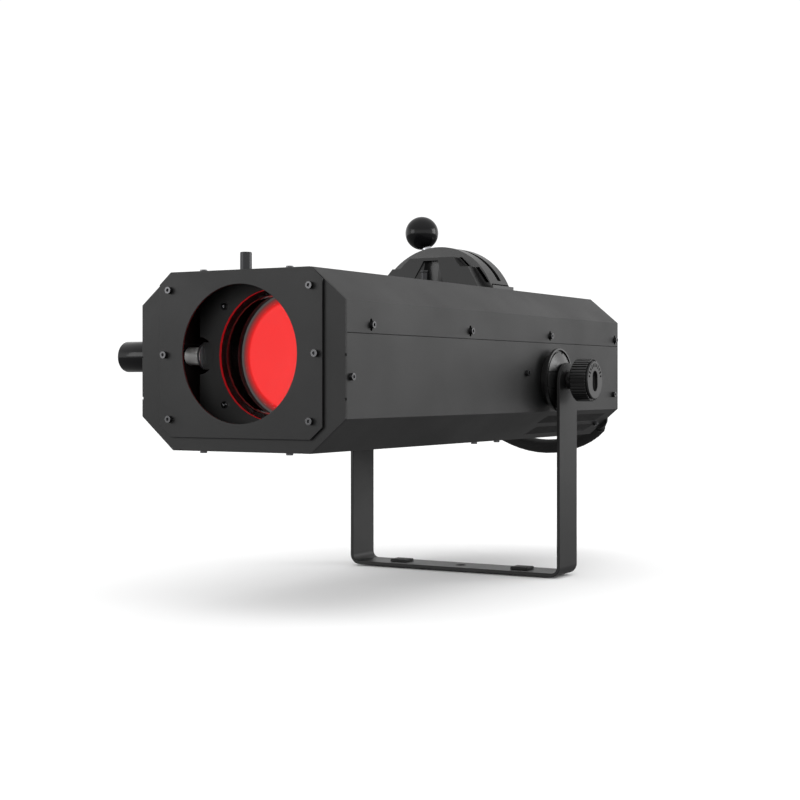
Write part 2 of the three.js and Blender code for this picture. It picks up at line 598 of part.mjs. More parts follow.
function makeLightEngine() {
  const at = [0, 0, AXIS_Z];
  part(head, 'condenser_lens', opticalGlass(), turned(
    [[0, 434], [12, 434.8], [24, 437.4], [32, 441], [32, 445], [0, 445]], 'y', at, 24));
  part(head, 'led_reflector', bareAluminium(), turned([
    [14, 500], [34, 446], [42, 446], [42, 448], [35.5, 448], [16.2, 500], [14, 500],
  ], 'y', at, 24));
  part(head, 'led_board', finish(0xd8d8d0, 0.5, 0.1), rod('y', at, 40, 501, 503, 24));
  const fins = 11;
  const pitch = 11;
  const comb = [];
  const half = ((fins - 1) * pitch) / 2;
  comb.push([half + 1.5, 503.5], [-half - 1.5, 503.5]);
  for (let i = 0; i < fins; i += 1) {
    const x = -half + i * pitch;
    comb.push([x - 1.5, 578], [x + 1.5, 578]);
    if (i < fins - 1) comb.push([x + 1.5, 513], [x + pitch - 1.5, 513]);
  }
  part(head, 'heat_sink', bareAluminium(), prismZ(outline(comb), AXIS_Z - 52, AXIS_Z + 52));
  const frame = box(-60, 60, 592, 617, AXIS_Z - 60, AXIS_Z + 60);
  const arms = join(box(-57, 57, 614, 617, AXIS_Z - 2.5, AXIS_Z + 2.5),
    box(-2.5, 2.5, 614, 617, AXIS_Z - 57, AXIS_Z + 57), rod('y', at, 19, 614, 617, 20));
  part(head, 'fan_frame', moulded(), join(cut(frame, rod('y', at, 56, 590, 619, 32)), arms));
  const blades = 7;
  let rotor = rod('y', at, 18.5, 594, 613.4, 20);
  for (let i = 0; i < blades; i += 1) {
    const blade = new THREE.BoxGeometry(37, 1.6, 20);
    blade.translate(35, 0, 0).rotateX(THREE.MathUtils.degToRad(52)).translate(0, 603.5, 0);
    blade.rotateY((i * 2 * Math.PI) / blades).translate(0, 0, AXIS_Z);
    rotor = join(rotor, solid(blade));
  }
  part(head, 'fan_rotor', moulded(), rotor);
  part(head, 'driver_box', bareAluminium(), box(-70, 70, 466, 612, -86, -56));
}

// ---- Objective: two lenses in a carriage on guide rods, moved by the side grip ----------------------
function makeObjective() {
  const at = [0, 0, AXIS_Z];
  const rim = outline(octagon(6).map(([x, z]) => [Math.sign(x) * Math.min(Math.abs(x), 94), z]));
  const plates = [[60, 64], [100, 104]].map(([y0, y1]) => prismY(rim, y0, y1));
  let carriage = cut(plates[0], rod('y', at, 60, 58, 66, 36));
  carriage = join(carriage, cut(plates[1], rod('y', at, 60, 98, 106, 36)));
  for (const x of [-61.5, 61.5]) {
    for (const z of [-50, 50]) carriage = join(carriage, rod('y', [x, 0, AXIS_Z + z], 5, 62, 102, 10));
  }
  // Room for the stud on each edge of the front plate, and the lug that the stud screws into.
  for (const side of [-1, 1]) carriage = cut(carriage, rod('y', [side * 95.3, 0, AXIS_Z], 19.4, 58, 66, 32));
  carriage = join(carriage, box(-94, -80, 66, 101, AXIS_Z - 14, AXIS_Z + 14));
  carriage = cut(carriage, rod('x', [0, FOCUS.y, AXIS_Z], FOCUS.stud + 0.2, -96, -86, 12));
  for (const x of [-ROD.x, ROD.x]) {
    carriage = cut(carriage, rod('y', [x, 0, ROD.z], ROD.r + 0.2, 55, 110, 12));
  }
  part(objective, 'objective_carriage', darkInside(), carriage);
  const { frontY, frontR, rearY, rearR } = LENS;
  const frontBulge = [[59.3, 3.5], [58.5, 5.2], [42, 9.5], [21, 12.8]];
  part(objective, 'front_lens', opticalGlass(), turned([
    [0, frontY], [frontR, frontY], [frontR, frontY + 3.5], ...frontBulge.map(([r, d]) => [r, frontY + d]),
    [0, frontY + 14],
  ], 'y', at, 40));
  part(objective, 'rear_lens_ring', blackSteel(), ring('y', at, 64.5, 73, rearY - 8, rearY - 1, 40));
  part(objective, 'rear_lens', opticalGlass(), turned([
    [0, rearY + 12], [30, rearY + 9.5], [52, rearY + 4.6], [59.5, rearY + 3.5], [rearR, rearY + 3.5],
    [rearR, rearY - 0.6], [0, rearY - 0.6],
  ], 'y', at, 40));
  const studAt = [0, FOCUS.y, AXIS_Z];
  part(objective, 'sleeve_flange', bareAluminium(), ring('x', studAt, FOCUS.stud + 0.2, 14.2, -97.5, -94.3, 24));
  part(objective, 'grip_sleeve', nylon(), ring('x', studAt, FOCUS.stud + 0.2, 9.3, -117.5, -97.8, 20));
  part(objective, 'focus_grip', gloss(), turned([
    [0, -202], [14.2, -202], [15.6, -201.2], [16.3, -199.6], [16.3, -125.5], [15.5, -124], [8.5, -124],
    [8.5, -120.6], [FOCUS.stud, -120.6], [FOCUS.stud, -90], [0, -90],
  ], 'x', studAt, 28));
  for (const [sideName, side] of sides) {
    part(head, `guide_rod_${sideName}`, brightSteel(), rod('y', [side * ROD.x, 0, ROD.z], ROD.r, 26, 250, 12));
  }
  for (const [name, y] of [['rod_bar_front', 24], ['rod_bar_rear', 242]]) {
    let bar = box(-62, 62, y, y + 8, -85.8, -67);
    for (const x of [-ROD.x, ROD.x]) bar = cut(bar, rod('y', [x, 0, ROD.z], ROD.r + 0.3, y - 1, y + 9, 12));
    part(head, name, bareAluminium(), bar);
  }
}

// ---- Small controls -----------------------------------------------------------------------------
function makeControls() {
  const { length, halfHeight: h } = HOUSING;
  part(head, 'frame_catch', blackSteel(), turned([
    [0, h - 12], [3.9, h - 12], [3.9, h + GAP], [5.8, h + GAP], [5.8, 104.9], [5.2, 105.6], [0, 105.6],
  ], 'z', [0, 10, 0], 20));
  let inlet = join(box(-88.2, -60.8, 640, length, -42.7, -22.3),
    box(-91, -58, length + GAP, length + 2.3, -45.5, -19.5), box(-88.2, -60.8, length - 1, length + 1, -42.7, -22.3));
  inlet = cut(inlet, box(-85.5, -63.5, 648, length + 3, -40, -25));
  for (const [x, z] of [[-80, -34.5], [-69, -34.5], [-74.5, -30.5]]) {
    inlet = join(inlet, box(x - 1, x + 1, 646, 661, z - 2, z + 2));
  }
  part(head, 'power_inlet', moulded(), inlet);
  let bezel = join(box(-82.7, -66.3, 650, length + 0.6, 20.5, 33.5),
    box(-84.5, -64.5, length + GAP, length + 1.8, 18.7, 35.3));
  bezel = cut(bezel, box(-81.2, -67.8, 653, length + 3, 22, 32));
  part(head, 'switch_bezel', moulded(), bezel);
  const rocker = outline([
    [656, 24.2], [length - 0.4, 23.4], [length + 0.9, 27], [length + 3, 30.6], [656, 29.8],
  ]);
  part(head, 'power_rocker', finish(0x7a1010, 0.3, 0), prismX(rocker, -80.7, -68.3));
  const knob = turned([
    [0, 655], [4, 655], [4, length + 0.5], [10, length + 0.5], [10, length + 4], [9, length + 15], [0, length + 15],
  ], 'y', [75, 0, 27], 20);
  part(head, 'dimmer_knob', moulded(), cut(knob, box(74.3, 75.7, length + 13.8, length + 17, 27, 38)));
}

makeYoke();
makeTiltKnobs();
makeTopCover();
makeLowerBody();
makeFrontCap();
makeFrontPlate();
makeRearPanel();
makeRearHandle();
makeTrunnions();
makeWheelCover();
makeColourWheel();
makeGate();
makeLightEngine();
makeObjective();
makeControls();

// Origin on the floor, under the middle of the object's box.
const extent = new THREE.Box3().setFromObject(spotlight);
spotlight.position.set(
  -(extent.min.x + extent.max.x) / 2, -(extent.min.y + extent.max.y) / 2, -extent.min.z);
spotlight.updateMatrixWorld(true);

export default spotlight;
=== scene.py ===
# %% [markdown]
# # A stage spotlight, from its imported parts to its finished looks
#
# The lamp is a folded steel housing on a U-shaped yoke. Its parts come in with their true sizes and
# places. This lesson gives them softened edges, adds the small pieces that a maker would fit, and
# makes each surface from a few simple patterns. Everything is in metres, with +Z up.

# %% Load the parts
import json
import math

import bpy
from mathutils import Matrix, Vector

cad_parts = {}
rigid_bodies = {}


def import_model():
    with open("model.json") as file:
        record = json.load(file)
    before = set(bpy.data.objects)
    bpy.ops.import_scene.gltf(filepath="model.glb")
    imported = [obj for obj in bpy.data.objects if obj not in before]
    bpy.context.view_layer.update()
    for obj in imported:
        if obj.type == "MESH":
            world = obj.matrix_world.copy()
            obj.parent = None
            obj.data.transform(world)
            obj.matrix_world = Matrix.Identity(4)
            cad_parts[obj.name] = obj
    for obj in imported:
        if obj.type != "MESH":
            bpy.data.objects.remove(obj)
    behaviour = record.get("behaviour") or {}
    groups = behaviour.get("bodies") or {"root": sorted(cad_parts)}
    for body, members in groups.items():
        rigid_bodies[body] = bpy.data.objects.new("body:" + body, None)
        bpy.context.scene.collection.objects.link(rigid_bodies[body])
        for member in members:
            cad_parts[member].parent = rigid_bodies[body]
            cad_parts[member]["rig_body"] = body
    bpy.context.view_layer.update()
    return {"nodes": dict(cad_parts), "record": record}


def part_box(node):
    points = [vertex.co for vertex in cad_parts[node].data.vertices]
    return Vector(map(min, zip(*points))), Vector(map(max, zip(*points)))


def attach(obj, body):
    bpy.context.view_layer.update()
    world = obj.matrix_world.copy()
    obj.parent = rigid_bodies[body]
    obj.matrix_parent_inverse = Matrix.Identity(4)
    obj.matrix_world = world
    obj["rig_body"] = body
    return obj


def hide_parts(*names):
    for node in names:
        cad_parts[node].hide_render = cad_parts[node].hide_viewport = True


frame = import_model()
SLOT_OF = {row["node"]: row["material_slot"] for row in frame["record"]["subparts"]}

# %% [markdown]
# Sizes below are in millimetres, counted from the middle of the housing's front end: x to the right,
# y to the back and z up. The front cap gives that point, so nothing has to be fitted by eye.

# %% Housing coordinates
MM = 0.001
cap_low, cap_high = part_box("front_cap")
FRONT_MIDDLE = Vector(((cap_low.x + cap_high.x) / 2, cap_low.y, (cap_low.z + cap_high.z) / 2))


def at(x, y, z):
    """A point given in millimetres from the middle of the housing's front end."""
    return FRONT_MIDDLE + Vector((x, y, z)) * MM


AXIS_Z = 6.5
HALF_WIDTH = 120
HALF_HEIGHT = 88
TILT_Y = 457.4
TILT_Z = -18
print("front middle at", [round(v, 4) for v in FRONT_MIDDLE])

# %% [markdown]
# ## Tools for modelling
# An operator works on whatever is selected, so every step first clears the selection. Faces and
# edges are then picked by their place, as a hand would pick them on the screen.


# %% Selecting
def only(obj):
    """Select this object alone and make it active."""
    if bpy.context.mode != "OBJECT":
        bpy.ops.object.mode_set(mode="OBJECT")
    bpy.ops.object.select_all(action="DESELECT")
    obj.select_set(True)
    bpy.context.view_layer.objects.active = obj


def edit_all(obj):
    only(obj)
    bpy.ops.object.mode_set(mode="EDIT")
    bpy.ops.mesh.select_all(action="SELECT")


def pick_faces(obj, test):
    """Go to edit mode with the faces selected whose centre and normal pass the test."""
    only(obj)
    bpy.ops.object.mode_set(mode="EDIT")
    bpy.ops.mesh.select_mode(type="FACE")
    bpy.ops.mesh.select_all(action="DESELECT")
    bpy.ops.object.mode_set(mode="OBJECT")
    for face in obj.data.polygons:
        face.select = bool(test(face.center, face.normal))
    bpy.ops.object.mode_set(mode="EDIT")


def pick_edges(obj, test):
    """Go to edit mode with the edges selected whose two ends pass the test."""
    only(obj)
    bpy.ops.object.mode_set(mode="EDIT")
    bpy.ops.mesh.select_mode(type="EDGE")
    bpy.ops.mesh.select_all(action="DESELECT")
    bpy.ops.object.mode_set(mode="OBJECT")
    for edge in obj.data.edges:
        first, second = (obj.data.vertices[i].co for i in edge.vertices)
        edge.select = bool(test(first, second))
    bpy.ops.object.mode_set(mode="EDIT")


def leave_edit():
    bpy.ops.object.mode_set(mode="OBJECT")


def apply_place(obj):
    """Put the object's place, turn and size into its mesh."""
    only(obj)
    bpy.ops.object.transform_apply(location=True, rotation=True, scale=True)


def move_by(obj, matrix):
    """Apply the place that the object has, then move its mesh by a matrix."""
    apply_place(obj)
    obj.matrix_world = matrix
    bpy.context.view_layer.update()
    apply_place(obj)


# %% [markdown]
# Real edges are never perfectly sharp. A small rounding catches the light and is what makes a sheet
# or a moulding look solid. The Bevel modifier rounds every edge sharper than its limit, and hardened
# normals keep the wide faces looking flat.


# %% Rounding edges
def add_modifier(obj, kind, **values):
    """Add a modifier, set its values and apply it at once."""
    only(obj)
    modifier = obj.modifiers.new(kind.title(), kind)
    for key, value in values.items():
        setattr(modifier, key, value)
    bpy.ops.object.modifier_apply(modifier=modifier.name)


def round_edges(obj, width, segments=2, limit=38, clamp=True):
    """Round the sharp edges by a width in millimetres and shade the rest smoothly."""
    only(obj)
    bpy.ops.object.shade_smooth()
    if width:
        add_modifier(obj, "BEVEL", width=width * MM, segments=segments, limit_method="ANGLE",
                     angle_limit=math.radians(limit), harden_normals=True, use_clamp_overlap=clamp)
    else:
        bpy.ops.object.shade_smooth_by_angle(angle=math.radians(limit))


def cut_away(obj, tool):
    """Cut one closed mesh out of another and throw the tool away."""
    add_modifier(obj, "BOOLEAN", operation="DIFFERENCE", object=tool, solver="EXACT")
    bpy.data.objects.remove(tool)


def join(pieces):
    """Make one object of several. The first one gives it its name."""
    only(pieces[0])
    for piece in pieces:
        piece.select_set(True)
    bpy.ops.object.join()
    return bpy.context.object


# %% [markdown]
# ## Patterns for the finishes
# Four small patterns are shared by many finishes, so each is a node group: fine grain, worn edges,
# settled dust and handling marks. They only put out values that change over the surface. The shader
# itself stays in each material.


# %% Node helpers
def node(tree, kind, inputs=None, **settings):
    """Add a node. Its inputs take numbers, colours or another node's output."""
    made = tree.nodes.new(kind)
    for key, value in settings.items():
        setattr(made, key, value)
    for key, value in (inputs or {}).items():
        if isinstance(value, bpy.types.NodeSocket):
            tree.links.new(value, made.inputs[key])
        else:
            made.inputs[key].default_value = value
    return made


def new_group(name, inputs, output):
    """An empty node group with number inputs and one number output."""
    tree = bpy.data.node_groups.new(name, "ShaderNodeTree")
    for title, value in inputs.items():
        socket = tree.interface.new_socket(title, in_out="INPUT", socket_type="NodeSocketFloat")
        socket.default_value = value
    tree.interface.new_socket(output, in_out="OUTPUT", socket_type="NodeSocketFloat")
    return tree, tree.nodes.new("NodeGroupInput").outputs, tree.nodes.new("NodeGroupOutput").inputs


def place_group(tree, group, **values):
    """Put a node group in a material, with its own values."""
    placed = tree.nodes.new("ShaderNodeGroup")
    placed.node_tree = group
    for key, value in values.items():
        placed.inputs[key].default_value = value
    return placed.outputs[0]


# %% [markdown]
# Powder coat, moulded plastic and cast rubber all have a fine orange-peel grain. Two noises, one
# three times finer than the other, give it without a visible repeat. Stretch pulls the grain out
# along the housing, which turns it into the lines of brushed metal.

# %% Fine grain
grain, sent, result = new_group("fine grain", {"Scale": 900.0, "Stretch": 1.0}, "Height")
place = node(grain, "ShaderNodeTexCoord").outputs["Object"]
ratio = node(grain, "ShaderNodeCombineXYZ", {"X": 1.0, "Y": sent["Stretch"], "Z": 1.0}).outputs[0]
pulled = node(grain, "ShaderNodeVectorMath", {0: place, 1: ratio}, operation="MULTIPLY").outputs[0]
coarse = node(grain, "ShaderNodeTexNoise", {"Vector": pulled, "Scale": sent["Scale"], "Detail": 2.0})
finer_scale = node(grain, "ShaderNodeMath", {0: sent["Scale"], 1: 3.0}, operation="MULTIPLY")
fine = node(grain, "ShaderNodeTexNoise", {"Vector": pulled, "Scale": finer_scale.outputs[0]})
both = node(grain, "ShaderNodeMath", {0: coarse.outputs[0], 1: fine.outputs[0]}, operation="ADD")
grain.links.new(both.outputs[0], result["Height"])

# %% [markdown]
# Paint rubs thin where hands and cases touch it, along the edges. A rounded normal differs from the
# true one only near an edge, and a noise breaks that band up into short patches.

# %% Worn edges
wear, sent, result = new_group("worn edges", {"Width": 0.0012, "Amount": 0.5, "Patches": 60.0}, "Mask")
soft = node(wear, "ShaderNodeBevel", {"Radius": sent["Width"]}, samples=4).outputs[0]
true = node(wear, "ShaderNodeNewGeometry").outputs["Normal"]
alike = node(wear, "ShaderNodeVectorMath", {0: soft, 1: true}, operation="DOT_PRODUCT").outputs["Value"]
edge = node(wear, "ShaderNodeMapRange", {"Value": alike, "From Min": 0.98, "From Max": 0.80})
place = node(wear, "ShaderNodeTexCoord").outputs["Object"]
patch = node(wear, "ShaderNodeTexNoise", {"Vector": place, "Scale": sent["Patches"], "Detail": 4.0})
broken = node(wear, "ShaderNodeMapRange", {"Value": patch.outputs[0], "From Min": 0.45, "From Max": 0.62})
mask = node(wear, "ShaderNodeMath", {0: edge.outputs[0], 1: broken.outputs[0]}, operation="MULTIPLY")
scaled = node(wear, "ShaderNodeMath", {0: mask.outputs[0], 1: sent["Amount"]}, operation="MULTIPLY")
wear.links.new(scaled.outputs[0], result["Mask"])

# %% [markdown]
# A little dust lies on faces that look up. The object's own normal says which they are, so the dust
# stays where it is when the lamp is tilted.

# %% Settled dust
dust, sent, result = new_group("settled dust", {"Amount": 0.1}, "Mask")
coordinates = node(dust, "ShaderNodeTexCoord").outputs
up = node(dust, "ShaderNodeSeparateXYZ", {0: coordinates["Normal"]}).outputs["Z"]
facing = node(dust, "ShaderNodeMapRange", {"Value": up, "From Min": 0.35, "From Max": 1.0}).outputs[0]
cloud = node(dust, "ShaderNodeTexNoise", {"Vector": coordinates["Object"], "Scale": 28.0, "Detail": 6.0})
thin = node(dust, "ShaderNodeMapRange", {"Value": cloud.outputs[0], "From Min": 0.35, "From Max": 0.75})
lying = node(dust, "ShaderNodeMath", {0: facing, 1: thin.outputs[0]}, operation="MULTIPLY")
share = node(dust, "ShaderNodeMath", {0: lying.outputs[0], 1: sent["Amount"]}, operation="MULTIPLY")
dust.links.new(share.outputs[0], result["Mask"])

# %% [markdown]
# Handling leaves broad, faint changes of gloss. This pattern runs from the finish's smoothest to its
# dullest roughness.

# %% Handling marks
marks, sent, result = new_group("handling marks", {"Smooth": 0.4, "Dull": 0.5, "Scale": 14.0},
                                "Roughness")
place = node(marks, "ShaderNodeTexCoord").outputs["Object"]
blur = node(marks, "ShaderNodeTexNoise", {"Vector": place, "Scale": sent["Scale"], "Detail": 5.0})
level = node(marks, "ShaderNodeMapRange", {
    "Value": blur.outputs[0], "From Min": 0.3, "From Max": 0.7,
    "To Min": sent["Smooth"], "To Max": sent["Dull"]})
marks.links.new(level.outputs[0], result["Roughness"])
print("patterns:", [group.name for group in bpy.data.node_groups])

# %% [markdown]
# ## The finishes
# Most finishes are the same recipe with other values: a base colour, a worn colour that shows at the
# edges, a range of gloss, and a grain that stands up as a bump.


# %% One recipe for opaque finishes
DUST_COLOUR = (0.30, 0.29, 0.27, 1)


def finish(name, base, worn, gloss, grain_scale, grain_depth, wear_amount=0.3, dust_amount=0.0,
           metal=0.0, stretch=1.0, specular=0.5):
    """An opaque finish. gloss is its lowest and highest roughness, grain_depth is in millimetres."""
    material = bpy.data.materials.new(name)
    material.use_nodes = True
    tree = material.node_tree
    shader = tree.nodes["Principled BSDF"]
    rubbed = place_group(tree, wear, Amount=wear_amount)
    colour = node(tree, "ShaderNodeMix", {"Factor": rubbed}, data_type="RGBA")
    colour.inputs[6].default_value = (*base, 1)
    colour.inputs[7].default_value = (*worn, 1)
    top = colour.outputs[2]
    if dust_amount:
        lying_dust = place_group(tree, dust, Amount=dust_amount)
        dusty = node(tree, "ShaderNodeMix", {"Factor": lying_dust}, data_type="RGBA")
        tree.links.new(top, dusty.inputs[6])
        dusty.inputs[7].default_value = DUST_COLOUR
        top = dusty.outputs[2]
    tree.links.new(top, shader.inputs["Base Color"])
    rough = place_group(tree, marks, Smooth=gloss[0], Dull=gloss[1])
    tree.links.new(rough, shader.inputs["Roughness"])
    height = place_group(tree, grain, Scale=grain_scale, Stretch=stretch)
    bump = node(tree, "ShaderNodeBump", {"Height": height, "Strength": 1.0, "Distance": grain_depth * MM})
    tree.links.new(bump.outputs[0], shader.inputs["Normal"])
    shader.inputs["Metallic"].default_value = metal
    shader.inputs["Specular IOR Level"].default_value = specular
    return material


# %% [markdown]
# The housing is black powder coat with a fine, satin grain. The mouldings are a darker plastic with
# a spark-eroded texture. Glossy grips are polished phenolic, so they have almost no grain and hardly
# wear.

# %% Black finishes
FINISHES = {
    "powder_black": finish("powder coat", (0.011, 0.011, 0.0112), (0.05, 0.05, 0.051), (0.42, 0.50),
                           1100, 0.05, 0.25, 0.02),
    "moulded_black": finish("moulded plastic", (0.007, 0.007, 0.0072), (0.03, 0.03, 0.031), (0.27, 0.35),
                            1500, 0.02, 0.25, 0.02, specular=0.75),
    "gloss_black": finish("polished phenolic", (0.006, 0.006, 0.007), (0.02, 0.02, 0.02), (0.10, 0.16),
                          120, 0.002, 0.1, 0.0, specular=0.3),
    "inside_black": finish("black anodising", (0.010, 0.010, 0.010), (0.05, 0.05, 0.05), (0.45, 0.6),
                           1300, 0.02, 0.2, 0.0),
    "rubber_black": finish("rubber", (0.014, 0.014, 0.014), (0.03, 0.03, 0.03), (0.62, 0.78),
                           800, 0.05, 0.2, 0.05),
    "black_steel": finish("blackened steel", (0.05, 0.05, 0.052), (0.16, 0.16, 0.165), (0.24, 0.36),
                          700, 0.01, 0.6, 0.0, metal=1.0),
}
SCREW_STEEL = finish("burnished screw steel", (0.12, 0.12, 0.124), (0.3, 0.3, 0.31), (0.22, 0.34),
                     700, 0.01, 0.6, 0.0, metal=1.0)
# Painted shade: a near-black sheet with almost no sheen stands for the shade inside the vent openings.
VENT_PAINTED_SHADE = finish("vent sheet painted as shade", (0.004, 0.003, 0.003), (0.008, 0.006, 0.006), (0.7, 0.9),
                      600, 0.02, 0.1, 0.0, specular=0.05)

# %% [markdown]
# Bare metals differ in their grain: turned steel is nearly mirror smooth, while extruded aluminium
# has drawn lines. The board, the sleeve and the rocker are light or coloured plastics.

# %% Metals and plastics
FINISHES.update({
    "bright_steel": finish("bright steel", (0.62, 0.63, 0.65), (0.8, 0.8, 0.82), (0.10, 0.20), 500, 0.004,
                           0.3, metal=1.0),
    "bare_aluminium": finish("drawn aluminium", (0.55, 0.56, 0.58), (0.7, 0.7, 0.72), (0.28, 0.42), 900, 0.02,
                             0.4, metal=1.0, stretch=0.04),
    "circuit_board": finish("white board", (0.68, 0.68, 0.64), (0.75, 0.75, 0.7), (0.3, 0.4), 300, 0.01, 0.1),
    "white_nylon": finish("nylon", (0.66, 0.66, 0.65), (0.75, 0.75, 0.74), (0.30, 0.42), 400, 0.02, 0.2),
    "red_rocker": finish("red plastic", (0.28, 0.012, 0.012), (0.4, 0.05, 0.04), (0.18, 0.28), 600, 0.01,
                         0.2),
})

# %% [markdown]
# ## Glass
# Glass is a shader with full transmission. The colour filters tint the light. A faint film of
# handling marks keeps them from looking like empty holes. Bending is the index of refraction: a coated
# lens mirrors so little that a low index shows it better.


# %% Clear and coloured glass
def glass(name, tint, smooth=0.0, dull=0.03, bending=1.46):
    material = bpy.data.materials.new(name)
    material.use_nodes = True
    tree = material.node_tree
    shader = tree.nodes["Principled BSDF"]
    shader.inputs["Transmission Weight"].default_value = 1.0
    shader.inputs["IOR"].default_value = bending
    film = node(tree, "ShaderNodeTexNoise", {"Scale": 40.0, "Detail": 3.0})
    tree.links.new(node(tree, "ShaderNodeTexCoord").outputs["Object"], film.inputs["Vector"])
    colour = node(tree, "ShaderNodeMix", {"Factor": film.outputs[0]}, data_type="RGBA")
    colour.inputs[6].default_value = (*tint, 1)
    colour.inputs[7].default_value = (*(0.94 * part for part in tint), 1)
    tree.links.new(colour.outputs[2], shader.inputs["Base Color"])
    tree.links.new(place_group(tree, marks, Smooth=smooth, Dull=dull), shader.inputs["Roughness"])
    return material


FINISHES.update({
    "clear_glass": glass("optical glass", (0.96, 0.98, 0.98)),
    "red_glass": glass("red filter glass", (0.80, 0.02, 0.02)),
    "amber_glass": glass("amber filter glass", (0.90, 0.42, 0.04)),
    "blue_glass": glass("blue filter glass", (0.03, 0.10, 0.80)),
})
coated = glass("coated front lens", (0.97, 0.98, 0.98), bending=1.07)

# %% [markdown]
# The light that burns through the red filter is painted on the rear lens as a red glow, so the rear lens is
# the bright surface that is seen from the front. The painted glow is even over most of the glass, falls off
# in a band near the rim and ends in a dim grey glow on the ground edge. The distance from the optical axis is
# worked out from object coordinates, so the bands follow the rim in every view.

# %% Rear lens with a painted glow
LENS_RADIUS = 0.066
FULL_RED = (1.0, 0.048, 0.048)
GLOW = [(0.0, FULL_RED), (0.825, FULL_RED), (0.835, (0.86, 0.022, 0.022)),
        (0.875, (0.50, 0.026, 0.026)), (0.94, (0.13, 0.045, 0.043)), (0.955, (0.085, 0.08, 0.08)),
        (1.0, (0.07, 0.07, 0.07))]
lit = bpy.data.materials.new("rear lens painted red glow")
lit.use_nodes = True
tree = lit.node_tree
shader = tree.nodes["Principled BSDF"]
place = node(tree, "ShaderNodeTexCoord").outputs["Object"]
centred = node(tree, "ShaderNodeVectorMath", {0: place, 1: at(0, 0, AXIS_Z)},
               operation="SUBTRACT").outputs[0]
flat = node(tree, "ShaderNodeVectorMath", {0: centred, 1: (1, 0, 1)}, operation="MULTIPLY").outputs[0]
radius = node(tree, "ShaderNodeVectorMath", {0: flat}, operation="LENGTH").outputs["Value"]
share = node(tree, "ShaderNodeMapRange", {"Value": radius, "From Min": 0.0, "From Max": LENS_RADIUS})
glow = node(tree, "ShaderNodeValToRGB", {"Fac": share.outputs[0]})


def set_ramp(ramp, stops):
    """Give a colour ramp its stops, each a place from 0 to 1 and a colour."""
    while len(ramp.elements) < len(stops):
        ramp.elements.new(0.5)
    for element, (stop, colour) in zip(ramp.elements, stops):
        element.position = stop
        element.color = (*colour, 1)


set_ramp(glow.color_ramp, GLOW)
# Painted glow: the lens itself gives out the ramp's colours as emission.
tree.links.new(glow.outputs[0], shader.inputs["Emission Color"])
shader.inputs["Emission Strength"].default_value = 1.0
shader.inputs["Base Color"].default_value = (0.02, 0.002, 0.002, 1)
shader.inputs["Specular IOR Level"].default_value = 0.05
tree.links.new(place_group(tree, marks, Smooth=0.15, Dull=0.25), shader.inputs["Roughness"])

# %% [markdown]
# The ground edge of the front lens shows as a thin red arc. The red light it catches from behind is painted
# on it as a red glow.

# %% Painted glow on the lens edge
ground = bpy.data.materials.new("front lens edge painted red glow")
ground.use_nodes = True
tree = ground.node_tree
shader = tree.nodes["Principled BSDF"]
speckle = node(tree, "ShaderNodeTexNoise", {"Scale": 900.0, "Detail": 2.0})
tree.links.new(node(tree, "ShaderNodeTexCoord").outputs["Object"], speckle.inputs["Vector"])
red = node(tree, "ShaderNodeMix", {"Factor": speckle.outputs[0]}, data_type="RGBA")
red.inputs[6].default_value = (0.22, 0.002, 0.004, 1)
red.inputs[7].default_value = (0.32, 0.004, 0.006, 1)
# Painted glow: the edge itself gives out the speckled red as emission.
tree.links.new(red.outputs[2], shader.inputs["Emission Color"])
shader.inputs["Emission Strength"].default_value = 1.0
shader.inputs["Base Color"].default_value = (0.05, 0.002, 0.002, 1)
shader.inputs["Roughness"].default_value = 0.7
print("finishes:", len(FINISHES), "by slot, and 5 for single pieces")

# %% [markdown]
# ## Dressing the parts
# Every part that came with the frame gets its finish. Parts whose edges show are then copied, merged
# and rounded, and the copy stands for the part. The widths follow how each is made: folded sheet has
# a small radius, machined and moulded parts a larger one.


# %% Give each part its finish
def dress(obj, slot, material=None):
    obj.data.materials.clear()
    obj.data.materials.append(material or FINISHES[slot])


# The vent grilles take the painted shade of the vent openings.
for name, obj in frame["nodes"].items():
    dress(obj, SLOT_OF[name], VENT_PAINTED_SHADE if name.startswith("vent_grille") else None)


def settle(obj, name, body, slot, replaced=(), material=None):
    """Name a finished piece, leave its place in its mesh, and hang it on its body."""
    apply_place(obj)
    obj.name = name
    obj.data.name = name
    dress(obj, slot, material)
    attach(obj, body)
    if replaced:
        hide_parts(*replaced)
    return obj


# %% [markdown]
# A copy of a part is all loose triangles at first. Merging its doubles closes it, and a limited
# dissolve turns the triangles of one flat face into that face, so that the bevel follows real edges.


# %% Copy, merge and round a part
def merged_copy(part_name):
    mesh = frame["nodes"][part_name].data.copy()
    piece = bpy.data.objects.new(part_name + "_copy", mesh)
    bpy.context.scene.collection.objects.link(piece)
    edit_all(piece)
    bpy.ops.mesh.remove_doubles(threshold=0.01 * MM)
    bpy.ops.mesh.dissolve_limited(angle_limit=math.radians(0.5))
    leave_edit()
    bpy.ops.mesh.customdata_custom_splitnormals_clear()
    return piece


def round_part(part_name, width, **options):
    piece = merged_copy(part_name)
    round_edges(piece, width, **options)
    body = frame["nodes"][part_name]["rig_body"]
    return settle(piece, part_name + "_finished", body, SLOT_OF[part_name], [part_name])


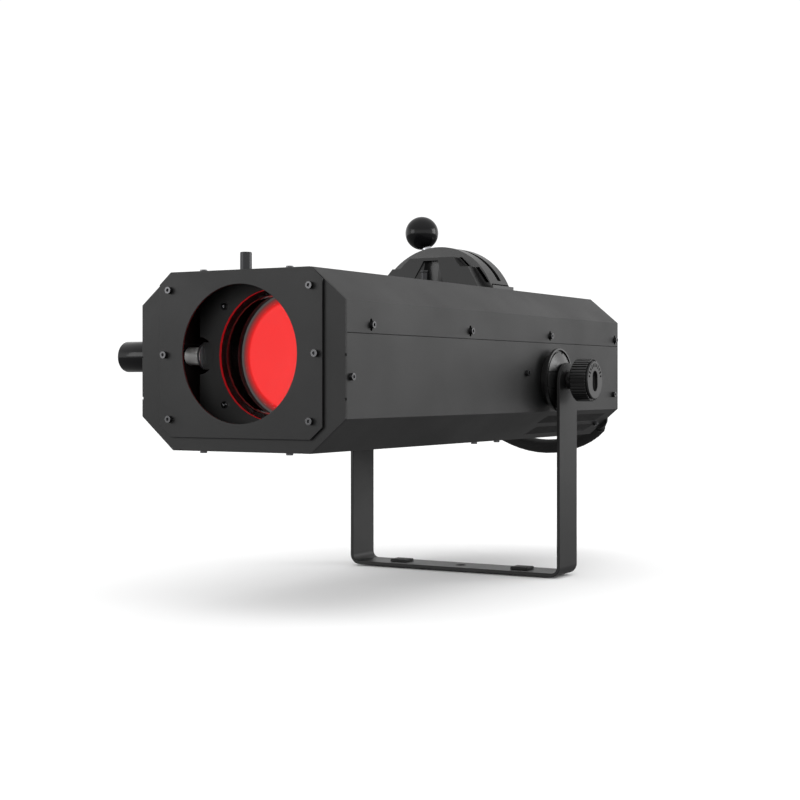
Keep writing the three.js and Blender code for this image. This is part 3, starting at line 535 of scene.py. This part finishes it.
ROUNDED = {
    "yoke_bracket": 0.6, "yoke_pad_left": 0.8, "yoke_pad_right": 0.8, "top_cover": 0.35, "lower_body": 0.35,
    "front_cap": 0.5, "front_plate": 0.5, "rear_panel": 0.5, "rear_handle": 0.5, "handle_grip": 1.0,
    "trunnion_left": 0.4, "trunnion_right": 0.4, "iris_lever": 0.4, "frame_catch": 0.4, "dimmer_knob": 0.5,
    "power_inlet": 0.4, "switch_bezel": 0.4, "power_rocker": 0.4, "focus_grip": 0.5, "grip_sleeve": 0.5,
    "sleeve_flange": 0.3, "objective_carriage": 0.3, "rear_lens_ring": 0.4, "lever_stem": 0.2,
    "fan_rotor": 0.2, "fan_frame": 0.5, "heat_sink": 0.2, "driver_box": 0.8, "colour_wheel": 0.3,
}
for name, width in ROUNDED.items():
    piece = round_part(name, width)
    print(f"{name:20} edges {width} mm, {len(piece.data.polygons)} faces")

# %% [markdown]
# Lenses are smooth all over except at their rims, so they are shaded by angle and keep their shape.

# %% Lenses and filters
LENS_LIMIT = 30
RIM_NORMAL = 0.2
for name in ["condenser_lens", "red_filter", "amber_filter", "blue_filter"]:
    round_part(name, 0, limit=LENS_LIMIT)


def objective_lens(part_name, new_name, material):
    lens = merged_copy(part_name)
    round_edges(lens, 0, limit=LENS_LIMIT)
    return settle(lens, new_name, "objective", "clear_glass", [part_name], material)


front_lens = objective_lens("front_lens", "front_lens_coated", coated)
front_lens.data.materials.append(ground)
# The rim faces take the painted red glow.
for face in front_lens.data.polygons:
    if abs(face.normal.y) < RIM_NORMAL:
        face.material_index = 1
objective_lens("rear_lens", "rear_lens_painted_glow", lit)

# %% [markdown]
# ## The wheel cover
# The moulded cover has a stepped block on its front, whose thin chamfers catch the light. The block's
# face leans back, so its edges are those that lie on that leaning plane. They are bevelled once, flat,
# before the fine rounding of everything else.

# %% Chamfer the cover's front block
COVER_Y = 392.4
BLOCK_LEAN = math.radians(17)
BLOCK_PROUD = 22
CHAMFER = 1.1
cover = merged_copy("wheel_cover")
plane_point = at(0, COVER_Y - BLOCK_PROUD, HALF_HEIGHT + 0.3)
plane_normal = Vector((0, -math.cos(BLOCK_LEAN), math.sin(BLOCK_LEAN)))


def on_block_face(point):
    return abs((point - plane_point).dot(plane_normal)) < 0.05 * MM


base_height = at(0, 0, HALF_HEIGHT + 1.5).z
pick_edges(cover, lambda a, b: on_block_face(a) and on_block_face(b) and max(a.z, b.z) > base_height)
bpy.ops.mesh.bevel(offset=CHAMFER * MM, segments=1, affect="EDGES", clamp_overlap=True)
leave_edit()
round_edges(cover, 0.35, limit=20)
settle(cover, "wheel_cover_finished", "head", "moulded_black", ["wheel_cover"])
print("cover faces:", len(cover.data.polygons))

# %% [markdown]
# ## The ball lever
# A phenolic ball is screwed on the lever of the colour wheel. It is a sphere cut flat at its seat,
# with a bright ferrule under it. Both are made upright at the origin, then leaned over to the
# lever's place.

# %% Ball and ferrule
LEVER_LEAN = math.radians(-18.8)
WHEEL_Y = 421
WHEEL_Z = 59.6
BALL_RADIUS = 20
BALL_REACH = 105.6
SEAT_REACH = 86.8
FERRULE_RADIUS = 5.8
FERRULE_LENGTH = 4.6
lever_place = Matrix.Translation(at(0, WHEEL_Y, WHEEL_Z)) @ Matrix.Rotation(LEVER_LEAN, 4, "Y")

bpy.ops.object.select_all(action="DESELECT")
bpy.ops.mesh.primitive_uv_sphere_add(segments=64, ring_count=32, radius=BALL_RADIUS * MM,
                                     location=(0, 0, BALL_REACH * MM))
ball = bpy.context.object
apply_place(ball)
edit_all(ball)
bpy.ops.mesh.bisect(plane_co=(0, 0, SEAT_REACH * MM), plane_no=(0, 0, 1), use_fill=True, clear_inner=True)
leave_edit()
round_edges(ball, 0.4, limit=40)
move_by(ball, lever_place)
settle(ball, "ball_knob_polished", "wheel", "gloss_black", ["ball_knob"])

bpy.ops.object.select_all(action="DESELECT")
bpy.ops.mesh.primitive_cylinder_add(vertices=40, radius=FERRULE_RADIUS * MM, depth=FERRULE_LENGTH * MM,
                                    location=(0, 0, (SEAT_REACH - 2.5) * MM))
ferrule = bpy.context.object
pick_faces(ferrule, lambda centre, normal: normal.z < -0.9)
bpy.ops.mesh.inset(thickness=1.2 * MM)
bpy.ops.transform.translate(value=(0, 0, -0.9 * MM))
leave_edit()
round_edges(ferrule, 0.4, limit=30)
move_by(ferrule, lever_place)
settle(ferrule, "ball_ferrule", "wheel", "bright_steel")
print("ball faces:", len(ball.data.polygons))

# %% [markdown]
# ## Cap screws
# The sheets are held by small socket-head screws. One is modelled: a disc with a rounded rim and a
# six-sided socket, on a short shank. It is copied to every place, each copy with its own mesh.

# %% One cap screw
HEAD_RADIUS = 3.5
HEAD_HEIGHT = 3.6
SOCKET_RADIUS = 1.75
SOCKET_TOOL = 4
bpy.ops.object.select_all(action="DESELECT")
bpy.ops.mesh.primitive_cylinder_add(vertices=28, radius=HEAD_RADIUS * MM, depth=HEAD_HEIGHT * MM,
                                    location=(0, 0, HEAD_HEIGHT / 2 * MM))
screw = bpy.context.object
apply_place(screw)
pick_faces(screw, lambda centre, normal: normal.z < -0.9)
bpy.ops.mesh.inset(thickness=1.6 * MM)
bpy.ops.mesh.extrude_region_move(TRANSFORM_OT_translate={"value": (0, 0, -1.6 * MM)})
leave_edit()
bpy.ops.mesh.primitive_cylinder_add(vertices=6, radius=SOCKET_RADIUS * MM, depth=SOCKET_TOOL * MM,
                                    location=(0, 0, (HEAD_HEIGHT + 0.2) * MM))
socket_tool = bpy.context.object
cut_away(screw, socket_tool)
round_edges(screw, 0.35, limit=35)
print("screw faces:", len(screw.data.polygons))


def fit_screw(name, point, outward, body="head", replaced=(), sunk=0.0):
    """Copy the screw to a point on a surface, its head standing outward. sunk is in millimetres."""
    copy = bpy.data.objects.new(name, screw.data.copy())
    bpy.context.scene.collection.objects.link(copy)
    turn = Vector(outward).to_track_quat("Z", "Y").to_matrix().to_4x4()
    place = Vector(point) - Vector(outward).normalized() * sunk * MM
    move_by(copy, Matrix.Translation(place) @ turn)
    settle(copy, name, body, "black_steel", replaced, SCREW_STEEL)


# %% [markdown]
# The six front screws take the places of the plain ones. The others sit on the housing's sides, on
# the tabs at both ends and under the floor. Those above and below are sunk a little, as in a dimple.

# %% Fit the screws
for i in range(1, 7):
    low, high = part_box(f"front_screw_{i}")
    seat = Vector(((low.x + high.x) / 2, low.y + 4 * MM, (low.z + high.z) / 2))
    fit_screw(f"front_screw_{i}_finished", seat, (0, -1, 0), replaced=[f"front_screw_{i}"])

COVER_SCREW_Y = [46, 251, 455, 655]
SIDE_SCREWS = [(9, -15.5), (390, -10), (650, -36)]
TAB_SCREW_Y = [10, 656]
FLOOR_SCREW_Y = [345, 402]
DIMPLE = 1.4
SCREW_PLACES = []
for side in (-1, 1):
    outward = (side, 0, 0)
    wall = side * (HALF_WIDTH + 0.1)
    SCREW_PLACES += [((wall, y, 34), outward) for y in COVER_SCREW_Y]
    SCREW_PLACES += [((wall, y, z), outward) for y, z in SIDE_SCREWS]
    for y in TAB_SCREW_Y:
        SCREW_PLACES.append(((side * 51, y, HALF_HEIGHT + 0.1), (0, 0, 1)))
        SCREW_PLACES.append(((side * 51, y, -HALF_HEIGHT - 0.1), (0, 0, -1)))
    for y in FLOOR_SCREW_Y:
        SCREW_PLACES.append(((side * 76, y, -HALF_HEIGHT - 0.1), (0, 0, -1)))
    SCREW_PLACES.append(((side * 99.7, 638, -72.4), (side * 0.65, 0, -0.76)))
for i, (point, outward) in enumerate(SCREW_PLACES, 1):
    fit_screw(f"housing_screw_{i}", at(*point), outward, sunk=DIMPLE if abs(outward[2]) == 1 else 0)
print(len(SCREW_PLACES) + 6, "screws")

# %% [markdown]
# Inside the front opening more screws hold the lens carriage together. They move with the objective.

# %% Screws of the objective
PLATE_Y = (59.9, 99.9)
PLATE_SCREW_X = 61.5
PLATE_SCREW_RISE = 50
carriage_places = [(side * PLATE_SCREW_X, plate_y, AXIS_Z + up_or_down * PLATE_SCREW_RISE)
                   for plate_y in PLATE_Y for side in (-1, 1) for up_or_down in (-1, 1)]
for i, point in enumerate(carriage_places, 1):
    fit_screw(f"carriage_screw_{i}", at(*point), (0, -1, 0), "objective", sunk=1)

# %% [markdown]
# ## The clamping knobs
# A moulded knob on each side clamps the tilt. It starts as a disc with many sides. Every second pair
# of side faces is pushed out to make the ribs, the outer end is stepped in to a flat face, and the
# inner end is drawn out to the neck and the stud.

# %% Body of one knob
RIBS = 40
RIB_HEIGHT = 1.3
GRIP_RADIUS = 23.6
GRIP_LENGTH = 18.5
bpy.ops.object.select_all(action="DESELECT")
bpy.ops.mesh.primitive_cylinder_add(vertices=RIBS * 4, radius=GRIP_RADIUS * MM, depth=GRIP_LENGTH * MM,
                                    location=(0, 0, GRIP_LENGTH / 2 * MM))
knob = bpy.context.object
apply_place(knob)


def rib_place(centre, normal):
    step = math.degrees(math.atan2(centre.y, centre.x)) % 360 / (360 / RIBS)
    return abs(normal.z) < 0.1 and step % 1 < 0.5


pick_faces(knob, rib_place)
bpy.ops.mesh.extrude_region_shrink_fatten(TRANSFORM_OT_shrink_fatten={"value": RIB_HEIGHT * MM})
leave_edit()


def end_face(height):
    return lambda centre, normal: abs(normal.z) > 0.9 and abs(centre.z - height * MM) < 0.01 * MM and (
        Vector((centre.x, centre.y, 0)).length < 0.5 * MM)


# %% [markdown]
# The outer end has a narrow groove behind a wide, flat face with a chamfered rim. Each step is an
# inset followed by a move along the axis. The inner end is drawn out to a neck and the stud.

# %% Steps of the knob's ends
def step_end(obj, height, inset, rise):
    """Inset the end face at a height and move the new face along the axis. Returns its height."""
    pick_faces(obj, end_face(height))
    bpy.ops.mesh.inset(thickness=inset * MM)
    bpy.ops.transform.translate(value=(0, 0, rise * MM))
    leave_edit()
    return height + rise


def draw_end(obj, height, rise):
    """Pull the end face at a height straight out. Returns its new height."""
    pick_faces(obj, end_face(height))
    bpy.ops.mesh.extrude_region_move(TRANSFORM_OT_translate={"value": (0, 0, rise * MM)})
    leave_edit()
    return height + rise


def shape_end(obj, height, steps):
    """Each step is an inset and a rise. An inset of None pulls the face straight out."""
    for inset, rise in steps:
        height = draw_end(obj, height, rise) if inset is None else step_end(obj, height, inset, rise)
    return height


GROOVE_AND_FACE = [(0.7, -1.5), (0.9, 0), (None, 3.3), (0.8, 0.8), (1.0, 0)]
NECK_AND_STUD = [(1.2, -1.8), (12.0, -0.4), (None, -9.6), (4.4, 0), (None, -30)]
outer = shape_end(knob, GRIP_LENGTH, GROOVE_AND_FACE)
shape_end(knob, 0, NECK_AND_STUD)

# %% [markdown]
# A wide rounded slot is sunk in the face, and short engraved ticks stand on an arc over it. They are
# plain marks, every second one longer.

# %% Slot and ticks of the knob
SLOT_WIDTH = 15
SLOT_LENGTH = 24
SLOT_DEPTH = 4
TICK_RADIUS = 17.4
TICK_ARC = 75
TICK_STEP = 15
TICK_WIDTH = 2
TICK_DEPTH = 2.5
LONG_TICK, SHORT_TICK = 4.6, 3.4
bpy.ops.object.select_all(action="DESELECT")
bpy.ops.mesh.primitive_cube_add(size=1, location=(0, -1 * MM, outer * MM))
slot_tool = bpy.context.object
slot_tool.scale = (SLOT_WIDTH * MM, SLOT_LENGTH * MM, 2 * SLOT_DEPTH * MM)
apply_place(slot_tool)
pick_edges(slot_tool, lambda a, b: abs(a.z - b.z) > 1 * MM)
bpy.ops.mesh.bevel(offset=SLOT_WIDTH * 0.49 * MM, segments=8, affect="EDGES")
leave_edit()
cut_away(knob, slot_tool)

ticks = []
for angle in range(-TICK_ARC, TICK_ARC + 1, TICK_STEP):
    bpy.ops.object.select_all(action="DESELECT")
    bpy.ops.mesh.primitive_cube_add(size=1, location=(0, 0, 0))
    tick = bpy.context.object
    length = LONG_TICK if angle % (2 * TICK_STEP) == 0 else SHORT_TICK
    tick.scale = (TICK_WIDTH * MM, length * MM, 2 * TICK_DEPTH * MM)
    move_by(tick, Matrix.Rotation(math.radians(-angle), 4, "Z")
            @ Matrix.Translation((0, TICK_RADIUS * MM, outer * MM)))
    ticks.append(tick)
cut_away(knob, join(ticks))
round_edges(knob, 0.15, limit=32)
print("knob faces:", len(knob.data.polygons))

# %% [markdown]
# A small grub screw in the neck locks the knob on its stud. It is the cap screw again, half sunk.

# %% Grub screw in the neck
grub = bpy.data.objects.new("grub", screw.data.copy())
bpy.context.scene.collection.objects.link(grub)
move_by(grub, Matrix.Translation((-8.6 * MM, 0, -6.5 * MM)) @ Matrix.Rotation(math.radians(-90), 4, "Y"))
knob = join([knob, grub])
bpy.data.objects.remove(screw)

# %% [markdown]
# The knob was made standing on its stud. Each copy is turned so that its stud points into the lamp
# and the ticks stay on top.

# %% Fit both knobs
GRIP_START = 155
for side, side_name in ((-1, "left"), (1, "right")):
    copy = bpy.data.objects.new("knob", knob.data.copy())
    bpy.context.scene.collection.objects.link(copy)
    turn = Matrix(((0, 0, side), (side, 0, 0), (0, 1, 0))).to_4x4()
    move_by(copy, Matrix.Translation(at(side * GRIP_START, TILT_Y, TILT_Z)) @ turn)
    settle(copy, f"tilt_knob_{side_name}_ribbed", f"tilt_clamp_{side_name}", "moulded_black",
           [f"tilt_knob_{side_name}"])
bpy.data.objects.remove(knob)

# %% [markdown]
# ## Vent grilles
# The lower chamfers have two rows of fine slanted openings for the cooling air. Behind each long opening is a
# sheet painted near black, which stands for the shade inside the opening. Narrow bars on the slant, with thin
# ties across them, make the openings read as columns of small holes.

# %% Bars over the vents
VENT_ROWS = [(8.5, 22.5), (29.0, 43.0)]
VENT_Y = (458, 634)
VENT_SLANT = 0.9
BAR_PITCH = 5.5
BAR_WIDTH = 2.7
BAR_DEPTH = -0.4
BAR_THICKNESS = 0.5
TIE_WIDTH = 0.5
TIE_DEPTH = -0.9
TIE_THICKNESS = 0.4
CHAMFER_HIGH = Vector((HALF_WIDTH, 0, -54.9))
CHAMFER_LOW = Vector((81.2, 0, -HALF_HEIGHT))


def vent_frame(side):
    """A matrix from (down the slope, back, outward) in millimetres to the chamfer on one side."""
    high = Vector((side * CHAMFER_HIGH.x, 0, CHAMFER_HIGH.z))
    down = (Vector((side * CHAMFER_LOW.x, 0, CHAMFER_LOW.z)) - high).normalized()
    back = Vector((0, 1, 0))
    out = down.cross(back) * side
    axes = Matrix((down, back, out)).transposed().to_4x4()
    return Matrix.Translation(at(*high)) @ Matrix.Scale(MM, 4) @ axes


def slanted_bar(s0, s1, y_middle, width, depth):
    """A bar across one vent row, made from a cube whose two ends are slid along the slant."""
    bpy.ops.object.select_all(action="DESELECT")
    bpy.ops.mesh.primitive_cube_add(size=1, location=((s0 + s1) / 2, y_middle, depth))
    bar = bpy.context.object
    bar.scale = (s1 - s0, width, BAR_THICKNESS)
    apply_place(bar)
    middle = (s0 + s1) / 2
    pick_faces(bar, lambda centre, normal: normal.x > 0.9)
    bpy.ops.transform.translate(value=(0, -VENT_SLANT * (s1 - middle), 0))
    leave_edit()
    pick_faces(bar, lambda centre, normal: normal.x < -0.9)
    bpy.ops.transform.translate(value=(0, VENT_SLANT * (middle - s0), 0))
    leave_edit()
    return bar


for side, side_name in ((-1, "left"), (1, "right")):
    pieces = []
    for s0, s1 in VENT_ROWS:
        bar = slanted_bar(s0, s1, VENT_Y[0] + BAR_PITCH / 2, BAR_WIDTH, BAR_DEPTH)
        count = int((VENT_Y[1] - VENT_Y[0]) / BAR_PITCH)
        add_modifier(bar, "ARRAY", count=count, use_relative_offset=False, use_constant_offset=True,
                     constant_offset_displace=(0, BAR_PITCH, 0))
        pieces.append(bar)
        for step in (0.25, 0.5, 0.75):
            s = s0 + step * (s1 - s0)
            y_shift = -VENT_SLANT * (s - (s0 + s1) / 2)
            bpy.ops.object.select_all(action="DESELECT")
            bpy.ops.mesh.primitive_cube_add(size=1, location=(s, sum(VENT_Y) / 2 + y_shift, TIE_DEPTH))
            tie = bpy.context.object
            tie.scale = (TIE_WIDTH, VENT_Y[1] - VENT_Y[0], TIE_THICKNESS)
            apply_place(tie)
            pieces.append(tie)
    bars = join(pieces)
    move_by(bars, vent_frame(side))
    settle(bars, f"vent_bars_{side_name}", "head", "powder_black")
    if side < 0:
        edit_all(bars)
        bpy.ops.mesh.normals_make_consistent(inside=False)
        leave_edit()
    print(bars.name, len(bars.data.polygons), "faces")

# %% [markdown]
# ## Studio
# The floor is plain and pale. A wide soft lamp overhead lights the floor alone and gives the soft
# shadow. A black object shows little but reflections, so the floor is kept out of them: its underside
# stays as dark as it would be over a dark table.

# %% Floor and its light
bpy.ops.object.select_all(action="DESELECT")
bpy.ops.mesh.primitive_plane_add(size=60, location=(0, 0, -0.0005))
floor = bpy.context.object
floor.name = "studio_floor"
paper = bpy.data.materials.new("pale paper")
paper.use_nodes = True
shader = paper.node_tree.nodes["Principled BSDF"]
shader.inputs["Base Color"].default_value = (0.93, 0.93, 0.93, 1)
shader.inputs["Roughness"].default_value = 0.9
shader.inputs["Specular IOR Level"].default_value = 0.0
floor.data.materials.append(paper)
floor.visible_glossy = False
floor.visible_diffuse = False
floor.visible_transmission = False
lit_by_overhead = bpy.data.collections.new("lit by overhead")
lit_by_overhead.objects.link(floor)

overhead = bpy.data.lights.new("overhead", "SUN")
overhead.angle = math.radians(100)
overhead.energy = 1.58
overhead_lamp = bpy.data.objects.new("overhead", overhead)
overhead_lamp.rotation_euler = (math.radians(17), math.radians(12), 0)
overhead_lamp.light_linking.receiver_collection = lit_by_overhead
bpy.context.scene.collection.objects.link(overhead_lamp)

# %% [markdown]
# The surroundings are a bright band of wall all round the horizon, dimmer above, and dark below. The
# elevation of each direction picks its brightness from a ramp.

# %% Surroundings
world = bpy.data.worlds.new("studio")
bpy.context.scene.world = world
world.use_nodes = True
sky = world.node_tree
direction = node(sky, "ShaderNodeTexCoord").outputs["Generated"]
height = node(sky, "ShaderNodeSeparateXYZ", {0: direction}).outputs["Z"]
share = node(sky, "ShaderNodeMapRange", {"Value": height, "From Min": -1.0, "From Max": 1.0}).outputs[0]
bands = node(sky, "ShaderNodeValToRGB", {"Fac": share})
BANDS = [(0.0, 0.16), (0.46, 0.24), (0.495, 1.0), (0.60, 1.0), (0.72, 0.58), (1.0, 0.72)]
set_ramp(bands.color_ramp, [(stop, (brightness,) * 3) for stop, brightness in BANDS])
sky.links.new(bands.outputs[0], sky.nodes["Background"].inputs["Color"])
sky.nodes["Background"].inputs["Strength"].default_value = 1.1


def area_light(name, place, target, size, power, only_on=()):
    """A soft rectangular light. With only_on, it lights those pieces and nothing else."""
    light = bpy.data.lights.new(name, "AREA")
    light.shape = "RECTANGLE"
    light.size, light.size_y = size
    light.energy = power
    lamp = bpy.data.objects.new(name, light)
    lamp.location = place
    lamp.rotation_euler = (Vector(target) - Vector(place)).to_track_quat("-Z", "Y").to_euler()
    bpy.context.scene.collection.objects.link(lamp)
    if only_on:
        lit_pieces = bpy.data.collections.new("lit by " + name)
        for piece in only_on:
            lit_pieces.objects.link(piece)
        lamp.light_linking.receiver_collection = lit_pieces


area_light("right side", (2.4, 1.6, 1.0), (0, 0, 0.25), (1.6, 1.2), 20)
area_light("front left", (-2.2, -2.6, 1.0), (0, 0, 0.25), (1.6, 1.2), 12)

# %% [markdown]
# The opening at the front is deep and black, so a small fill in front of it shows the pieces inside.
# It lights only them.

# %% Fill in the opening
INSIDE = ["grip_sleeve_finished", "sleeve_flange_finished", "objective_carriage_finished"]
INSIDE += [f"carriage_screw_{i}" for i in range(1, 9)]
area_light("opening fill", at(250, -700, 60), at(-60, 60, 10), (0.25, 0.25), 5,
           [bpy.data.objects[name] for name in INSIDE])

# %% [markdown]
# The camera stands a little to the right of the lens, at the height of the housing, and looks along
# the horizon. A small shift lowers the picture's middle, as a view camera's front does, so upright
# edges stay parallel.

# %% Camera
camera_data = bpy.data.cameras.new("camera")
camera_data.sensor_width = 36
camera_data.lens = 69.9
camera_data.shift_y = -0.0212
camera = bpy.data.objects.new("camera", camera_data)
camera.location = (0.8936, -1.5759, 0.2271)
camera.rotation_euler = (math.radians(90), 0, math.radians(29.95))
bpy.context.scene.collection.objects.link(camera)
bpy.context.scene.camera = camera
bpy.context.scene.view_settings.view_transform = "Standard"

# %% [markdown]
# ## Finish

# %% Finish
bpy.ops.object.select_all(action="DESELECT")
